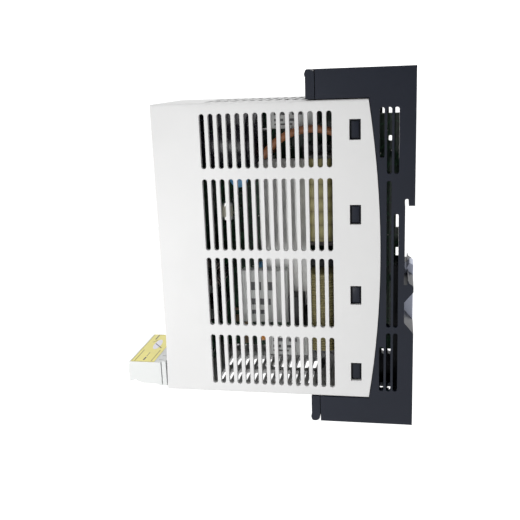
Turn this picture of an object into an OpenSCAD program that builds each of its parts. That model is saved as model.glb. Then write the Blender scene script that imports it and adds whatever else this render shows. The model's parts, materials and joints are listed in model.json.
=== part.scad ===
// DIN rail power supply: a vented front cover that latches onto a rear housing with a rail clip.
// +X is the width, +Y points at the rail, +Z is up. The origin is the middle of the rail seat.

/* [Enclosure] */
// Width across the two side faces
enclosure_w = 48; // [46:1:60]
// Height of the rear housing
housing_h = 149.2; // [149:0.1:152]
// Height of the front cover
cover_h = 125.6; // [125:0.1:126]
// Height of the enclosure's middle above the rail's centre line
centre_z = -5.7; // [-6:0.1:-5]
// Distance from the rail seat to the cover's front face
seat_to_front = 103.2; // [102:0.1:110]
// Distance from the rail seat to the front of the terminal arms
arm_reach = 35.2; // [35:0.1:36]
// Depth of the rail recess behind the seat
recess_depth = 3.85; // [3.6:0.05:5]
// Wall thickness of the cover and the housing
wall = 2; // [1.6:0.1:2.2]
// Gap between the cover and the housing
gap = 0.3; // [0.2:0.05:0.5]

/* [Front cover] */
// Radius of the cover's four long edges
cover_edge_r = 1.2; // [0.5:0.1:2]
// Distance from the rail seat to the cover's rear edge, at mid-height
cover_rear_mid = 9.7; // [9:0.1:11]
// How far the rear edge draws back at the top and bottom corners
cover_rear_sag = 4.8; // [3:0.1:6]
// How far the foot of the front face stands forward
front_lean = 0.8; // [0:0.1:1.2]
// Pitch of all ventilation slots
slot_pitch = 3.7; // [3.5:0.05:3.8]
// Width of the ventilation slots
slot_w = 2.2; // [1.4:0.1:2.4]
// Number of slots in each side row
slot_count = 15; // [8:1:15]
// Number of vents in each top and bottom row
vent_count = 13; // [6:1:13]
// Length of the top and bottom vents
vent_l = 13.7; // [10:0.1:15]
// Width of the latch windows
window_w = 4.5; // [4:0.1:5]
// Height of the latch windows
window_h = 8.1; // [7:0.1:9]

/* [Rail clip] */
// Width of the clip
clip_w = 10; // [9:0.5:12]
// Travel of the clip from its free position to fully pulled
clip_travel = 6; // [5:0.5:6]
// Wire diameter of the clip spring
spring_wire = 0.6; // [0.4:0.1:0.7]
// Turns of the clip spring
spring_turns = 8; // [6:1:10]

/* [Terminals] */
// Number of output terminals
output_count = 4; // [4:1:4]
// Pitch of the output terminals
output_pitch = 9.6; // [9:0.1:9.8]
// Number of input terminals
input_count = 3; // [3:1:3]
// Pitch of the input terminals
input_pitch = 12.4; // [10:0.1:13]
// Travel of each wire clamp
clamp_travel = 3.2; // [3:0.1:3.2]
// Clear wire space of an open terminal
wire_space = 3.6; // [3:0.1:3.6]

/* [Plug] */
// Width of the plug
plug_w = 35.6; // [34:0.1:36]
// Height of the plug
plug_h = 10.6; // [10:0.1:11]
// Distance from the rail seat to the plug's front
seat_to_plug_front = 122.1; // [120:0.1:124]
// Pitch of the plug's poles
plug_pitch = 10.16; // [10:0.08:10.16]
// Clear wire space of an open plug terminal
plug_wire = 2.2; // [2:0.1:2.2]

/* [Hidden] */

$fn = 48;
arc_fn = 720;
cut = 1;

navy = "#2b303d";
shell_grey = "#d9d9d6";
steel = "#b9bcc2";
copper = "#b87333";
board_green = "#1d5c35";
tape_olive = "#8c8350";

half_w = enclosure_w / 2;
housing_top = centre_z + housing_h / 2;
housing_bottom = centre_z - housing_h / 2;
cover_top = centre_z + cover_h / 2;
cover_bottom = centre_z - cover_h / 2;
cover_front = -seat_to_front;
cover_inner_front = cover_front + wall;
cover_half_h = cover_h / 2;
arc_r = (pow(cover_half_h, 2) + pow(cover_rear_sag, 2)) / (2 * cover_rear_sag);
arc_y = -cover_rear_mid - arc_r;
lean_start_z = centre_z - 0.3 * cover_h;

// Side slots: the middle of the first one, and the bottom and top of each row
slot_y0 = cover_front + 21.5;
slot_rows = [[30.5, 52.9], [-4, 26.3], [-37.3, -7.1], [-64.4, -41.6]];
vent_y0 = cover_front + 21.5;
vent_x = 8.65;
window_y = -19.7;
window_pitch = 34;
window_z = [for (i = [-1.5:1:1.5]) centre_z + i * window_pitch];

// Housing sides: the exposed skin sits just inside the cover's side faces, the tongues inside the cover
skin_x = half_w - 0.25;
tongue_x1 = half_w - wall - gap;
tongue_x0 = tongue_x1 - wall;
tongue_y0 = -27;
tongue_y1 = -6;
housing_slots = [
    [-9.2, 33.9, 53.6], [-9.2, -65.2, -45.2],
    [-6.35, 27.6, 53.6], [-6.35, -36.5, 24.9], [-6.35, -65.2, -39],
    [-3.5, 27.6, 53.6], [-3.5, -36.5, 11.7], [-3.5, -65.2, -39]
];
arm_front = -arm_reach;
arm_floor = cover_top + gap;
arm_inner = arm_floor + 1.6;
arm_ceiling = housing_top - wall;
arm_web_end = -14;
outlet_y = [for (i = [0:3]) -13.6 + i * slot_pitch];

// Rail seat: the fixed lip above, the moulded hooks below, and a relief behind the hooks and the clip
lip_z = 14.8;
lip_gap = 1.5;
notch_top = 17.6;
seat_top = 14.4;
seat_bottom = -13;
seat_relief = 0.3;

// Rail clip and its channel
clip_half = clip_w / 2;
clip_top = -13.6;
clip_foot = housing_bottom - 5.6;
clip_back = recess_depth - 0.05;
clip_front = -2.4;
tongue_back = -1.2;
channel_half = clip_half + 0.3;
channel_front = clip_front - 0.3;
channel_top = clip_top - 1.6;
clip_wing = 1.4;
clip_ledge = -20;
spring_r = 2.2;
spring_y = 0.5;
spring_foot = -64.5;
spring_top = -46;
post_half = 2.6;
post_l = 3.5;

// Hinged terminal covers
hinge_r = 1.95;
hinge_y = arm_front - gap - hinge_r;
hinge_z = housing_top - hinge_r;
hinge_pin_r = 1;
hinge_bore_r = 1.05;
lug_x = 15;
lug_half = 2;
flap_front = arm_front - 3.9;
flap_wall = 1.6;

// Screw terminals, drawn for the top arm; the bottom arm mirrors them
pole_z = (arm_inner + arm_ceiling) / 2;
head_r = 2.6;
head_l = 2.2;
shank_r = 1.5;
shank_bore_r = 1.55;
head_y = arm_front + 0.7;
block_front = arm_front + 0.3;
block_back = -18.6;
clamp_wall = 1.2;
bar_t = 1;
bar_y = -26.4;
clamp_y0 = bar_y - 0.2 - clamp_wall;
clamp_y1 = bar_y + bar_t + wire_space + clamp_wall;
clamp_half_w = 3.1;
clamp_half_h = 2.5;

// Plug and header at the foot of the cover's front
plug_x1 = half_w - 0.2;
plug_x0 = plug_x1 - plug_w;
plug_x = (plug_x0 + plug_x1) / 2;
plug_top = -55.8;
plug_bottom = plug_top - plug_h;
plug_front = -seat_to_plug_front;
flange_front = cover_front - 3.2;
flange_back = cover_front - 1.1;
plug_back = flange_front - gap;
nose_back = cover_front + 6.7;
nose_x0 = plug_x0 + 2.6;
nose_x1 = half_w - wall - 1.6;
nose_top = plug_top - 1.6;
nose_bottom = plug_bottom + 1.5;
header_back = nose_back + 2.6;
header_wall = 1;
plug_bar_z = plug_top - 4.2;
plug_bar_t = 0.8;
plug_pole_y = -113.6;
plug_head_r = 2;
plug_shank_r = 1.25;
plug_cage_half = 2.9;
plug_cage_len = 4.6;
plug_cage_wall = 0.8;
plug_head_z = plug_bottom + 0.5;
plug_head_l = 1.35;
plug_partition = 0.4;
pin_w = 1.2;
pin_tip = cover_front - 1.5;

// Boards
board_t = 1.6;
main_board_x = -half_w + wall + 2.4;
main_board_y0 = -88.4;
main_board_y1 = -2.6;
main_board_z0 = -62;
main_board_z1 = 53.8;
board_step_y = -12;
board_step_z = 49;
board_notches = [[-57, -54.4], [-24, -12], [-2.6, 3.4]];
notch_depth = 1.2;
board_face = main_board_x + board_t;
board_screw_y = -23;
front_board_y = cover_front + 11.6;
pot_x = 8;
pot_z = 24;
knob_r = 1.6;
lens_x0 = 8.6;
lens_x1 = 20.6;
lens_z0 = 38.6;
lens_z1 = 46.6;
led_x = [11.6, 17.6];

// Transformer and boost choke, each wound along Z around the middle leg of its core
fit = 0.1;
coil_y = -34.6;
coil_half_d = 5.4;
coil_x0 = -14.5;
coil_x1 = 17.5;
leg_half = 3;
core_x0 = -9;
core_x1 = 5.4;
flange_t = 1.4;
transformer_z = 16;
transformer_half = 19;
choke_z = -33;
choke_half = 17.5;
toroid_centre = [12.4, -83.2, -16.4];
toroid_in = 3.2;
toroid_out = 5.7;
toroid_half = 2.4;

// Heat sink's base plate
sink_x0 = 6;
sink_x1 = 9;
sink_y0 = -60.4;
sink_y1 = -41.6;
sink_z0 = -32;
sink_z1 = 32.4;

plug_count = 3;

function output_x(i) = (i - (output_count + 1) / 2) * output_pitch;
function input_x(i) = (i - (input_count + 1) / 2) * input_pitch;
function plug_pole_x(i) = plug_x + (i - (plug_count + 1) / 2) * plug_pitch;

// ---- Helpers ----

module box(lo, hi) {
    translate(lo)
        cube(hi - lo);
}

// Draws an outline given as [y, z] and extrudes it along X
module along_x(x0, x1) {
    translate([x0, 0, 0])
        rotate([90, 0, 90])
            linear_extrude(x1 - x0)
                children();
}

// Draws an outline given as [x, z] and extrudes it along Y
module along_y(y0, y1) {
    translate([0, y1, 0])
        rotate([90, 0, 0])
            linear_extrude(y1 - y0)
                children();
}

module rod_x(r, x0, x1, y, z) {
    translate([x0, y, z])
        rotate([0, 90, 0])
            cylinder(h = x1 - x0, r = r);
}

module rod_y(r, y0, y1, x, z) {
    translate([x, y0, z])
        rotate([-90, 0, 0])
            cylinder(h = y1 - y0, r = r);
}

module rod_z(r, z0, z1, x, y) {
    translate([x, y, z0])
        cylinder(h = z1 - z0, r = r);
}

// A slot outline with round ends, w wide and running from v0 to v1 along the second axis
module slot(w, u, v0, v1) {
    translate([u - w / 2, v0 + w / 2])
        square([w, v1 - v0 - w]);
    for (v = [v0 + w / 2, v1 - w / 2])
        translate([u, v])
            circle(d = w);
}

module rounded_rect(w, h, r) {
    square([w - 2 * r, h], center = true);
    square([w, h - 2 * r], center = true);
    for (x = [-1, 1], y = [-1, 1])
        translate([x * (w / 2 - r), y * (h / 2 - r)])
            circle(r = r);
}

module flip_z() {
    translate([0, 0, 2 * centre_z])
        mirror([0, 0, 1])
            children();
}

module both_sides() {
    children();
    mirror([1, 0, 0])
        children();
}

module both_ends() {
    children();
    flip_z()
        children();
}

// ---- Front cover ----

// Side view of the cover, grown by d at its rear, top and bottom
module cover_outline(d) {
    intersection() {
        polygon([
            [cover_front, cover_top + d], [0, cover_top + d], [0, cover_bottom - d],
            [cover_front - front_lean, cover_bottom - d], [cover_front - front_lean, cover_bottom],
            [cover_front, lean_start_z]
        ]);
        translate([arc_y, centre_z])
            circle(r = arc_r + d, $fn = arc_fn);
    }
}

module side_slots() {
    for (row = slot_rows, k = [0:slot_count - 1])
        along_x(-half_w - cut, half_w + cut)
            slot(slot_w, slot_y0 + k * slot_pitch, row[0], row[1]);
}

module end_vents() {
    for (s = [-1, 1], k = [0:vent_count - 1])
        translate([0, vent_y0 + k * slot_pitch, cover_bottom - cut])
            linear_extrude(cover_h + 2 * cut)
                rotate(90)
                    slot(slot_w, 0, s * vent_x - vent_l / 2, s * vent_x + vent_l / 2);
}

module latch_windows() {
    for (z = window_z)
        box([-half_w - cut, window_y - window_w / 2, z - window_h / 2],
            [half_w + cut, window_y + window_w / 2, z + window_h / 2]);
}

module front_cover() {
    color(shell_grey)
        difference() {
            intersection() {
                along_y(cover_front - front_lean - cut, 0)
                    translate([0, centre_z])
                        rounded_rect(enclosure_w, cover_h, cover_edge_r, $fn = 12);
                along_x(-half_w, half_w)
                    cover_outline(0);
            }
            box([-half_w + wall, cover_inner_front, cover_bottom + wall], [half_w - wall, cut, cover_top - wall]);
            side_slots();
            end_vents();
            latch_windows();
            box([lens_x0, cover_front - cut, lens_z0], [lens_x1, cover_inner_front + cut, lens_z1]);
            rod_y(knob_r + gap, cover_front - cut, cover_inner_front + cut, pot_x, pot_z);
            box([nose_x0 - header_wall - gap, cover_front - front_lean - cut, nose_bottom - header_wall - gap],
                [nose_x1 + header_wall + gap, cover_inner_front + cut, nose_top + header_wall + gap]);
        }
}

module status_lens() {
    lens_flange = 1.2;
    lens_proud = 1.25;
    color("#c8d4cf")
        union() {
            box([lens_x0 + 0.1, cover_front - lens_proud, lens_z0 + 0.1], [lens_x1 - 0.1, cover_inner_front, lens_z1 - 0.1]);
            box([lens_x0 - lens_flange, cover_inner_front, lens_z0 - lens_flange],
                [lens_x1 + lens_flange, cover_inner_front + lens_flange, lens_z1 + lens_flange]);
        }
}

module rating_label() {
    color("#eceff1")
        along_y(cover_front - 0.15, cover_front)
            translate([0, -14])
                rounded_rect(38, 44, 2);
}

// ---- Rear housing ----

// Side view of the whole housing, with the rail seat cut into its rear edge
module housing_outline() {
    difference() {
        polygon([
            [arm_front, housing_top], [recess_depth, housing_top], [recess_depth, lip_z], [0, lip_z],
            [0, seat_bottom], [-seat_relief, seat_bottom - seat_relief], [-seat_relief, -17.9], [1.2, -17.9],
            [1.3, -16.2], [1.6, -16.2], [1.95, -17.3], [3.3, -18.2],
            [3.7, -18.9], [3.7, -21], [0, -25.5], [0, -34.2], [recess_depth, -39],
            [recess_depth, housing_bottom], [arm_front, housing_bottom]
        ]);
        slot(lip_gap + 0.2, lip_gap / 2 - 0.1, seat_top, notch_top);
        cover_outline(gap);
        translate([arm_front - cut, cover_bottom - gap])
            square([arm_reach - cover_rear_mid - cover_rear_sag, cover_h + 2 * gap]);
    }
}

// Side view of the space inside the housing
module housing_cavity() {
    polygon([
        [arm_front - cut, arm_ceiling], [recess_depth - wall, arm_ceiling], [recess_depth - wall, notch_top + wall],
        [-wall, notch_top], [-wall, -36], [recess_depth - wall, -41],
        [recess_depth - wall, housing_bottom + wall], [arm_front - cut, housing_bottom + wall],
        [arm_front - cut, 2 * centre_z - arm_inner], [arm_web_end, 2 * centre_z - arm_inner],
        [arm_web_end, cover_bottom + wall + 1], [tongue_y0 - cut, cover_bottom + wall + 1],
        [tongue_y0 - cut, cover_top - wall - 1], [arm_web_end, cover_top - wall - 1],
        [arm_web_end, arm_inner], [arm_front - cut, arm_inner]
    ]);
}

module latch() {
    latch_half_w = window_w / 2 - 0.85;
    latch_half_h = window_h / 2 - 0.8;
    for (z = window_z)
        box([tongue_x1 - cut, window_y - latch_half_w, z - latch_half_h],
            [half_w - 0.8, window_y + latch_half_w, z + latch_half_h]);
}

// The lugs that carry one terminal cover
module hinge_lugs() {
    both_sides()
        difference() {
            union() {
                rod_x(hinge_r, lug_x - lug_half, lug_x + lug_half, hinge_y, hinge_z);
                box([lug_x - lug_half, hinge_y, hinge_z], [lug_x + lug_half, arm_front + cut, housing_top]);
            }
            rod_x(hinge_bore_r, lug_x - lug_half - cut, lug_x + lug_half + cut, hinge_y, hinge_z);
        }
}

// Openings in the top of an arm: air outlets, then one wire entry over each terminal
module arm_outlets() {
    for (y = outlet_y, s = [-1, 1])
        translate([0, y, arm_ceiling - cut])
            linear_extrude(wall + 2 * cut)
                rotate(90)
                    slot(slot_w, 0, s * vent_x - vent_l / 2, s * vent_x + vent_l / 2);
}

module wire_entry(x) {
    box([x - clamp_half_w + clamp_wall, bar_y + bar_t, arm_ceiling - cut],
        [x + clamp_half_w - clamp_wall, bar_y + bar_t + wire_space, housing_top + cut]);
}

module clip_channel() {
    box([-channel_half, channel_front, housing_bottom - cut], [channel_half, recess_depth + cut, channel_top]);
    box([-channel_half - clip_wing, channel_front, housing_bottom - cut],
        [channel_half + clip_wing, tongue_back + 0.2, clip_ledge + gap]);
}

module spring_post() {
    box([-post_half, channel_front - cut, spring_foot - post_l], [post_half, spring_y + spring_r + 0.3, spring_foot]);
}

module rear_housing() {
    channel_wall = 1.8;
    color(navy)
        difference() {
            union() {
                difference() {
                    along_x(-skin_x, skin_x)
                        housing_outline();
                    along_x(-skin_x + wall, skin_x - wall)
                        housing_cavity();
                }
                both_sides() {
                    box([tongue_x0, tongue_y0, cover_bottom + wall + gap], [tongue_x1, tongue_y1, cover_top - wall - gap]);
                    latch();
                }
                difference() {
                    box([-channel_half - clip_wing - channel_wall, channel_front - channel_wall, housing_bottom],
                        [channel_half + clip_wing + channel_wall, -cut / 2, channel_top + channel_wall]);
                    clip_channel();
                }
                both_ends()
                    hinge_lugs();
            }
            clip_channel();
            both_sides()
                for (s = housing_slots)
                    along_x(tongue_x0 - cut, half_w)
                        slot(1.9, s[0], s[1], s[2]);
            both_ends()
                arm_outlets();
            for (i = [1:output_count])
                wire_entry(output_x(i));
            flip_z()
                for (i = [1:input_count])
                    wire_entry(input_x(i));
            for (z = window_z)
                rod_x(1.45, -half_w + wall, -tongue_x0 + cut, board_screw_y, z);
        }
    color(navy)
        spring_post();
}

// One hinged terminal cover, drawn at the top arm
module terminal_cover() {
    relief = 0.25;
    corner_r = 0.9;
    color(navy)
        union() {
            difference() {
                union() {
                    box([-skin_x, flap_front, arm_floor], [skin_x, arm_front - gap, hinge_z]);
                    rod_x(hinge_r, -skin_x, skin_x, hinge_y, hinge_z);
                    rod_x(corner_r, -skin_x, skin_x, flap_front + corner_r, housing_top - corner_r);
                    box([-skin_x, flap_front, hinge_z - cut], [skin_x, hinge_y, housing_top - corner_r]);
                    box([-skin_x, flap_front + corner_r, hinge_z - cut], [skin_x, hinge_y, housing_top]);
                }
                box([-skin_x + flap_wall, flap_front + flap_wall, arm_floor + flap_wall],
                    [skin_x - flap_wall, arm_front, hinge_z - hinge_r - 0.4]);
                both_sides()
                    box([lug_x - lug_half - relief, flap_front - 1, hinge_z - hinge_r - 0.4],
                        [lug_x + lug_half + relief, arm_front, housing_top + cut]);
            }
            rod_x(hinge_pin_r, -skin_x + cut, skin_x - cut, hinge_y, hinge_z);
        }
}

module top_terminal_cover() {
    terminal_cover();
}

module bottom_terminal_cover() {
    flip_z()
        terminal_cover();
}

// ---- Rail clip ----

module rail_clip() {
    window_half = post_half + 0.4;
    window_top = spring_top + 0.1;
    window_bottom = spring_foot - post_l - 0.1;
    pull_half = clip_half - 2.2;
    color("#a9adb8")
        difference() {
            union() {
                along_x(-clip_half, clip_half)
                    polygon([
                        [clip_front, clip_foot], [clip_back, clip_foot], [clip_back, clip_top - 0.6],
                        [2.6, clip_top], [2, clip_top - 0.1], [0.9, clip_top - 2], [0.1, clip_top - 2.1],
                        [0.1, clip_ledge], [clip_front, clip_ledge]
                    ]);
                box([-clip_half - clip_wing, clip_front, housing_bottom + 2],
                    [clip_half + clip_wing, tongue_back, clip_ledge]);
            }
            box([-window_half, clip_front - cut, window_bottom], [window_half, clip_back - 0.7, window_top]);
            box([-pull_half, clip_front - cut, clip_foot + 1.6], [pull_half, clip_back + cut, clip_foot + 4]);
        }
}

// Points on one ring of the spring's wire, at the angle a along the helix
function helix_point(a, side, sides) = let (
    turn = a / 360,
    z = spring_foot + spring_wire / 2 + turn / spring_turns * (spring_top - spring_foot - spring_wire),
    rr = spring_r - spring_wire / 2 + spring_wire / 2 * cos(side * 360 / sides)
) [rr * cos(a), spring_y + rr * sin(a), z + spring_wire / 2 * sin(side * 360 / sides)];

module clip_spring() {
    sides = 8;
    rings = spring_turns * 16;
    points = [for (i = [0:rings], s = [0:sides - 1]) helix_point(i * 360 * spring_turns / rings, s, sides)];
    walls = [for (i = [0:rings - 1], s = [0:sides - 1]) let (n = (s + 1) % sides)
        [i * sides + s, (i + 1) * sides + s, (i + 1) * sides + n, i * sides + n]];
    ends = [[for (s = [0:sides - 1]) s], [for (s = [sides - 1:-1:0]) rings * sides + s]];
    color(steel)
        polyhedron(points = points, faces = concat(walls, ends), convexity = 10);
}

// ---- Screw terminals ----

module terminal_block(xs, half) {
    pocket_half = clamp_half_w + gap;
    color("#3a3f4a")
        difference() {
            box([-half, block_front, arm_inner + 0.1], [half, block_back, arm_ceiling - 0.1]);
            for (x = xs) {
                rod_y(head_r + gap, block_front - cut, head_y + head_l + gap, x, pole_z);
                rod_y(shank_r + gap, block_front, clamp_y0, x, pole_z);
                box([x - pocket_half, clamp_y0 - clamp_travel - 0.3, pole_z - clamp_half_h - gap],
                    [x + pocket_half, clamp_y1 + gap, arm_ceiling + cut]);
                box([x - 2.3, bar_y - 0.1, arm_inner], [x + 2.3, block_back + cut, pole_z]);
            }
        }
}

module terminal_bars(xs) {
    strip_z = arm_inner + 0.2;
    strip_t = 0.7;
    tab_y = arm_web_end + 1.2;
    color(steel)
        for (x = xs) {
            box([x - 1.9, bar_y, strip_z], [x + 1.9, bar_y + bar_t, arm_ceiling - 0.4]);
            box([x - 1.4, bar_y, strip_z], [x + 1.4, tab_y + 0.8, strip_z + strip_t]);
            box([x - 1.4, tab_y, 50.5], [x + 1.4, tab_y + 0.8, strip_z + strip_t]);
        }
}

module terminal_screw(x) {
    color(steel)
        difference() {
            union() {
                rod_y(head_r, head_y, head_y + head_l, x, pole_z);
                rod_y(shank_r, head_y, bar_y - 0.25, x, pole_z);
            }
            box([x - head_r, head_y - cut, pole_z - 0.35], [x + head_r, head_y + 1, pole_z + 0.35]);
            box([x - 0.35, head_y - cut, pole_z - 1.6], [x + 0.35, head_y + 1, pole_z + 1.6]);
        }
}

module terminal_clamp(x) {
    color("#c9ccd2")
        difference() {
            box([x - clamp_half_w, clamp_y0, pole_z - clamp_half_h], [x + clamp_half_w, clamp_y1, pole_z + clamp_half_h]);
            box([x - clamp_half_w + 0.9, clamp_y0 + clamp_wall, pole_z - clamp_half_h - cut],
                [x + clamp_half_w - 0.9, clamp_y1 - clamp_wall, pole_z + clamp_half_h + cut]);
            rod_y(shank_bore_r, clamp_y0 - cut, clamp_y0 + clamp_wall + cut, x, pole_z);
        }
}

module output_block() {
    terminal_block([for (i = [1:output_count]) output_x(i)], 20.5);
}

module input_block() {
    flip_z()
        terminal_block([for (i = [1:input_count]) input_x(i)], 20.5);
}

module output_bars() {
    terminal_bars([for (i = [1:output_count]) output_x(i)]);
}

module input_bars() {
    flip_z()
        terminal_bars([for (i = [1:input_count]) input_x(i)]);
}

module output_screw(i) {
    terminal_screw(output_x(i));
}

module output_clamp(i) {
    terminal_clamp(output_x(i));
}

module input_screw(i) {
    flip_z()
        terminal_screw(input_x(i));
}

module input_clamp(i) {
    flip_z()
        terminal_clamp(input_x(i));
}

// ---- Plug and header ----

module plug_header() {
    color("#e3e3df")
        difference() {
            union() {
                box([plug_x0 - 0.1, flange_front, plug_bottom - 0.5], [plug_x1, flange_back, plug_top + 0.5]);
                box([nose_x0 - header_wall - 0.1, flange_back - cut / 2, nose_bottom - header_wall - 0.1],
                    [nose_x1 + header_wall, header_back, nose_top + header_wall]);
            }
            box([nose_x0 - gap, flange_front - cut, nose_bottom - gap], [nose_x1 + gap, nose_back + gap, nose_top + gap]);
            for (i = [1:plug_count])
                box([plug_pole_x(i) - pin_w / 2, nose_back, plug_bar_z - plug_bar_t / 2 - pin_w / 2],
                    [plug_pole_x(i) + pin_w / 2, header_back + cut, plug_bar_z - plug_bar_t / 2 + pin_w / 2]);
        }
}

module header_pins() {
    color(steel)
        for (i = [1:plug_count])
            box([plug_pole_x(i) - pin_w / 2, pin_tip, plug_bar_z - plug_bar_t / 2 - pin_w / 2],
                [plug_pole_x(i) + pin_w / 2, front_board_y + 2.6, plug_bar_z - plug_bar_t / 2 + pin_w / 2]);
}

// Side view of the plug's body, with the arched underside between its front lip and rear rim
module plug_outline() {
    difference() {
        polygon([
            [plug_front + 0.5, plug_top], [plug_back, plug_top], [plug_back, plug_bottom - 0.4],
            [plug_back - 1, plug_bottom - 0.6], [plug_back - 2, plug_bottom + 0.2],
            [plug_front + 6.4, plug_bottom + 0.4], [plug_front + 2.6, plug_bottom + 2],
            [plug_front + 0.2, plug_bottom + 1], [plug_front, plug_bottom + 6.6]
        ]);
        translate([plug_front + 1.9, plug_bottom + 0.3])
            circle(r = 1.1);
    }
}

module plug_housing() {
    cage_top = plug_top - 1;
    head_room = plug_head_z + plug_head_l + 0.2;
    color("#dcdcd8")
        difference() {
            union() {
                along_x(plug_x0, plug_x1)
                    plug_outline();
                box([nose_x0, plug_back - cut, nose_bottom], [nose_x1, nose_back, nose_top]);
            }
            for (i = [1:plug_count]) {
                x = plug_pole_x(i);
                box([x - plug_cage_half - gap, plug_pole_y - plug_cage_len / 2 - gap, head_room + plug_partition],
                    [x + plug_cage_half + gap, plug_pole_y + plug_cage_len / 2 + gap, cage_top]);
                box([x - 2.1, plug_front - cut, plug_bar_z + 0.05], [x + 2.1, plug_pole_y, cage_top - 0.9]);
                rod_z(plug_shank_r + gap, plug_head_z, plug_bar_z, x, plug_pole_y);
                rod_z(plug_head_r + gap, plug_bottom - cut, head_room, x, plug_pole_y);
                box([x - 2, plug_pole_y - plug_cage_len / 2 - gap, plug_bar_z - plug_bar_t - 0.05],
                    [x + 2, plug_back, plug_bar_z + 0.05]);
                box([x - 1.6, plug_back - cut, plug_bar_z - plug_bar_t / 2 - 1.5],
                    [x + 1.6, nose_back - 0.8, plug_bar_z - plug_bar_t / 2 + 1.5]);
                box([x - pin_w, nose_back - cut, plug_bar_z - plug_bar_t / 2 - pin_w],
                    [x + pin_w, nose_back + cut, plug_bar_z - plug_bar_t / 2 + pin_w]);
            }
        }
}

module plug_label() {
    color("#f5e75a")
        box([plug_x0 + 0.4, plug_front + 1.2, plug_top], [plug_x1 - 0.3, plug_front + 12.2, plug_top + 0.12]);
}

module plug_sockets() {
    tube = pin_w / 2 + 0.1;
    pin_z = plug_bar_z - plug_bar_t / 2;
    color(copper)
        for (i = [1:plug_count]) {
            x = plug_pole_x(i);
            box([x - 1.8, plug_pole_y - plug_cage_len / 2 - 0.1, plug_bar_z - plug_bar_t], [x + 1.8, plug_back - 0.5, plug_bar_z]);
            difference() {
                box([x - tube - 0.7, plug_back - 0.6, pin_z - tube - 0.7], [x + tube + 0.7, nose_back - 1, pin_z + tube + 0.7]);
                box([x - tube, plug_back + 0.4, pin_z - tube], [x + tube, nose_back, pin_z + tube]);
            }
        }
}

module plug_screw(i) {
    x = plug_pole_x(i);
    color(steel)
        difference() {
            union() {
                rod_z(plug_head_r, plug_head_z, plug_head_z + plug_head_l, x, plug_pole_y);
                rod_z(plug_shank_r, plug_head_z, plug_bar_z - plug_bar_t - 0.15, x, plug_pole_y);
            }
            box([x - plug_head_r, plug_pole_y - 0.3, plug_head_z - cut],
                [x + plug_head_r, plug_pole_y + 0.3, plug_head_z + 0.6]);
        }
}

module plug_clamp(i) {
    x = plug_pole_x(i);
    top = plug_bar_z + plug_wire + plug_cage_wall;
    bottom = plug_bar_z - plug_bar_t - 0.1 - plug_cage_wall;
    color("#c9ccd2")
        difference() {
            box([x - plug_cage_half, plug_pole_y - plug_cage_len / 2, bottom],
                [x + plug_cage_half, plug_pole_y + plug_cage_len / 2, top]);
            box([x - plug_cage_half + plug_cage_wall, plug_pole_y - plug_cage_len, bottom + plug_cage_wall],
                [x + plug_cage_half - plug_cage_wall, plug_pole_y + plug_cage_len, top - plug_cage_wall]);
            rod_z(plug_shank_r + 0.05, bottom - cut, bottom + plug_cage_wall + cut, x, plug_pole_y);
        }
}

// ---- Controls on the front board ----

module adjust_pot() {
    color("#3b6ea5")
        difference() {
            box([pot_x - 3.4, cover_inner_front + 1.8, pot_z - 3.4], [pot_x + 3.4, front_board_y, pot_z + 3.4]);
            rod_y(knob_r + 0.05, cover_inner_front, cover_inner_front + 4.9, pot_x, pot_z);
        }
}

module adjust_knob() {
    color("#e8e3d2")
        difference() {
            rod_y(knob_r, cover_front + 0.3, cover_inner_front + 4.8, pot_x, pot_z);
            box([pot_x - knob_r, cover_front, pot_z - 0.35], [pot_x + knob_r, cover_front + 1.3, pot_z + 0.35]);
        }
}

module status_leds() {
    color("#7fd08a")
        for (x = led_x)
            rod_y(1.5, cover_inner_front + 2.2, front_board_y, x, (lens_z0 + lens_z1) / 2);
}

module front_board() {
    color(board_green)
        difference() {
            box([main_board_x + board_t + 0.1, front_board_y, -66], [half_w - wall - 2, front_board_y + board_t, 50]);
            for (i = [1:plug_count])
                box([plug_pole_x(i) - pin_w / 2, front_board_y - cut, plug_bar_z - plug_bar_t / 2 - pin_w / 2],
                    [plug_pole_x(i) + pin_w / 2, front_board_y + board_t + cut, plug_bar_z - plug_bar_t / 2 + pin_w / 2]);
        }
}

// ---- Main board and its parts ----

module main_board() {
    color(board_green)
        difference() {
            box([main_board_x, main_board_y0, main_board_z0], [board_face, main_board_y1, main_board_z1]);
            for (z = window_z)
                rod_x(1.6, main_board_x - cut, board_face + cut, board_screw_y, z);
            for (z = board_notches)
                box([main_board_x - cut, main_board_y1 - notch_depth, z[0]], [board_face + cut, main_board_y1 + cut, z[1]]);
            box([main_board_x - cut, board_step_y, board_step_z],
                [board_face + cut, main_board_y1 + cut, main_board_z1 + cut]);
            rod_x(1.2, main_board_x - cut, board_face + cut, -6.4, 38);
        }
}

module board_screws() {
    head_x = board_face + 1.9;
    slot_l = 1.7;
    slot_half = 0.4;
    color(steel)
        for (z = window_z)
            difference() {
                union() {
                    rod_x(2.75, board_face, head_x, board_screw_y, z);
                    rod_x(1.4, -half_w + wall + 0.5, board_face + cut, board_screw_y, z);
                }
                box([head_x - 1.1, board_screw_y - slot_l, z - slot_half],
                    [head_x + cut, board_screw_y + slot_l, z + slot_half]);
                box([head_x - 1.1, board_screw_y - slot_half, z - slot_l],
                    [head_x + cut, board_screw_y + slot_half, z + slot_l]);
            }
}

// A core whose middle leg runs along Z, with a winding window each side of it, given its mid-height and half-height
module leg_core(z, half) {
    window = coil_half_d + fit;
    difference() {
        box([core_x0, coil_y - window - leg_half, z - half - leg_half],
            [core_x1, coil_y + window + leg_half, z + half + leg_half]);
        for (y = [coil_y - window, coil_y + leg_half])
            box([core_x0 - cut, y, z - half], [core_x1 + cut, y + window - leg_half, z + half]);
    }
}

module leg_hole(z0, z1) {
    box([core_x0 - fit, coil_y - leg_half - fit, z0 - cut], [core_x1 + fit, coil_y + leg_half + fit, z1 + cut]);
}

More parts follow.
